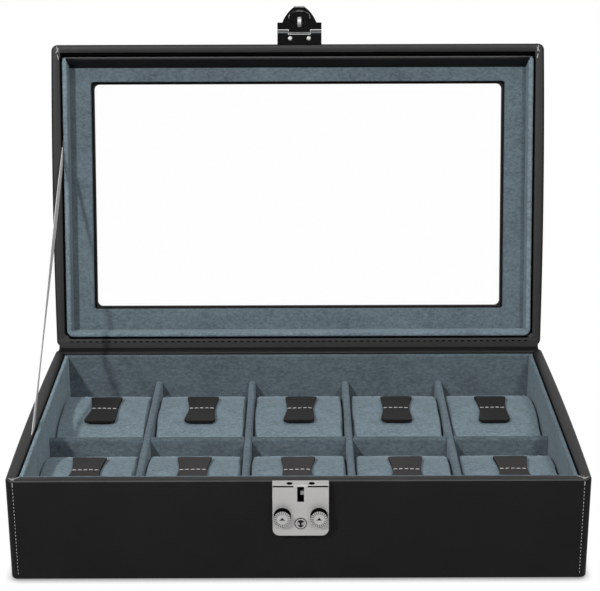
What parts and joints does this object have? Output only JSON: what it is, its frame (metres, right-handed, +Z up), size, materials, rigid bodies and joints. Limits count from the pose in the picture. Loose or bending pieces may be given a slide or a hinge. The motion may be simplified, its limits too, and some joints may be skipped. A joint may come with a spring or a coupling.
{
  "type": "watch box",
  "caption": "Leather-covered watch box with a glazed hinged lid, suede cushions that lift out of divided compartments, a ribbon stay, and a hasp held by a sliding lock.",
  "frame": {"origin": "centre of the underside of the felt under the base", "axes": "+X along the front, to the right as seen from the front; +Y from the front to the hinge; +Z up"},
  "size_m": [0.33, 0.2855, 0.2876],
  "materials": {
    "felt": "matte black felt",
    "fibreboard": "raw fibreboard",
    "leather": "fine-grained semi-matte black leather",
    "suede": "grey-blue suede",
    "cushion_suede": "grey-blue suede over foam",
    "tab_leather": "smooth matte dark grey leather",
    "card": "grey card",
    "glass": "clear polished",
    "ribbon": "light grey woven ribbon",
    "lock_nickel": "satin nickel plate",
    "knob_chrome": "polished",
    "plug_chrome": "polished",
    "hidden_steel": "plain steel",
    "hasp_chrome": "polished"
  },
  "bodies": {
    "base": {"base_felt": "felt", "base_floor_board": "fibreboard", "base_front_board": "fibreboard", "base_rear_board": "fibreboard", "base_left_board": "fibreboard", "base_right_board": "fibreboard", "base_leather": "leather", "hinge_leather_inner": "leather", "hinge_leather_outer": "leather", "liner_front": "suede", "liner_rear": "suede", "liner_left": "suede", "liner_right": "suede", "floor_pad": "suede", "cross_divider": "suede", "bay_divider_1": "suede", "bay_divider_2": "suede", "bay_divider_3": "suede", "bay_divider_4": "suede", "stay_ribbon": "ribbon", "lock_case": "lock_nickel", "lock_cylinder": "lock_nickel", "lock_spring": "hidden_steel", "lock_screws": "hidden_steel"},
    "lid": {"lid_walls": "fibreboard", "lid_top_panel": "fibreboard", "lid_leather": "leather", "lid_liner": "suede", "window_frame": "suede", "glass_surround": "card", "window_glass": "glass", "hasp_plate": "hasp_chrome", "hasp_studs": "hasp_chrome", "hasp_pin": "hasp_chrome"},
    "hasp": {"hasp_tongue": "hasp_chrome", "hasp_staple": "hasp_chrome"},
    "slider": {"lock_slider": "hidden_steel", "lock_knob_left": "knob_chrome", "lock_knob_right": "knob_chrome"},
    "key": {"lock_plug": "plug_chrome"},
    "pad_rear_1": {"cushion_rear_1": "cushion_suede", "tab_rear_1": "tab_leather"},
    "pad_rear_2": {"cushion_rear_2": "cushion_suede", "tab_rear_2": "tab_leather"},
    "pad_rear_3": {"cushion_rear_3": "cushion_suede", "tab_rear_3": "tab_leather"},
    "pad_rear_4": {"cushion_rear_4": "cushion_suede", "tab_rear_4": "tab_leather"},
    "pad_rear_5": {"cushion_rear_5": "cushion_suede", "tab_rear_5": "tab_leather"},
    "pad_front_1": {"cushion_front_1": "cushion_suede", "tab_front_1": "tab_leather"},
    "pad_front_2": {"cushion_front_2": "cushion_suede", "tab_front_2": "tab_leather"},
    "pad_front_3": {"cushion_front_3": "cushion_suede", "tab_front_3": "tab_leather"},
    "pad_front_4": {"cushion_front_4": "cushion_suede", "tab_front_4": "tab_leather"},
    "pad_front_5": {"cushion_front_5": "cushion_suede", "tab_front_5": "tab_leather"}
  },
  "joints": [
    {"name": "lid_hinge", "type": "hinge", "parent": "base", "child": "lid", "pos_m": [0, 0.103, 0.0634], "axis": [-1, 0, 0], "range_deg": [-103.1, 0], "deforming": ["hinge_leather_inner", "hinge_leather_outer", "stay_ribbon"]},
    {"name": "hasp_hinge", "type": "hinge", "parent": "lid", "child": "hasp", "pos_m": [0.0012, 0.15227, 0.27073], "axis": [-1, 0, 0], "range_deg": [-90, 0]},
    {"name": "latch_slide", "type": "slide", "parent": "base", "child": "slider", "axis": [1, 0, 0], "range_m": [0, 0.0022], "stiffness_N_per_m": 300, "springref_m": -0.003, "deforming": ["lock_spring"]},
    {"name": "key_turn", "type": "hinge", "parent": "base", "child": "key", "pos_m": [0.0012, -0.1066, 0.0396], "axis": [0, 1, 0], "range_deg": [-90, 0]},
    {"name": "pad_rear_1_lift", "type": "slide", "parent": "base", "child": "pad_rear_1", "axis": [0, 0, 1], "range_m": [0, 0.06]},
    {"name": "pad_rear_2_lift", "type": "slide", "parent": "base", "child": "pad_rear_2", "axis": [0, 0, 1], "range_m": [0, 0.06]},
    {"name": "pad_rear_3_lift", "type": "slide", "parent": "base", "child": "pad_rear_3", "axis": [0, 0, 1], "range_m": [0, 0.06]},
    {"name": "pad_rear_4_lift", "type": "slide", "parent": "base", "child": "pad_rear_4", "axis": [0, 0, 1], "range_m": [0, 0.06]},
    {"name": "pad_rear_5_lift", "type": "slide", "parent": "base", "child": "pad_rear_5", "axis": [0, 0, 1], "range_m": [0, 0.06]},
    {"name": "pad_front_1_lift", "type": "slide", "parent": "base", "child": "pad_front_1", "axis": [0, 0, 1], "range_m": [0, 0.06]},
    {"name": "pad_front_2_lift", "type": "slide", "parent": "base", "child": "pad_front_2", "axis": [0, 0, 1], "range_m": [0, 0.06]},
    {"name": "pad_front_3_lift", "type": "slide", "parent": "base", "child": "pad_front_3", "axis": [0, 0, 1], "range_m": [0, 0.06]},
    {"name": "pad_front_4_lift", "type": "slide", "parent": "base", "child": "pad_front_4", "axis": [0, 0, 1], "range_m": [0, 0.06]},
    {"name": "pad_front_5_lift", "type": "slide", "parent": "base", "child": "pad_front_5", "axis": [0, 0, 1], "range_m": [0, 0.06]}
  ]
}
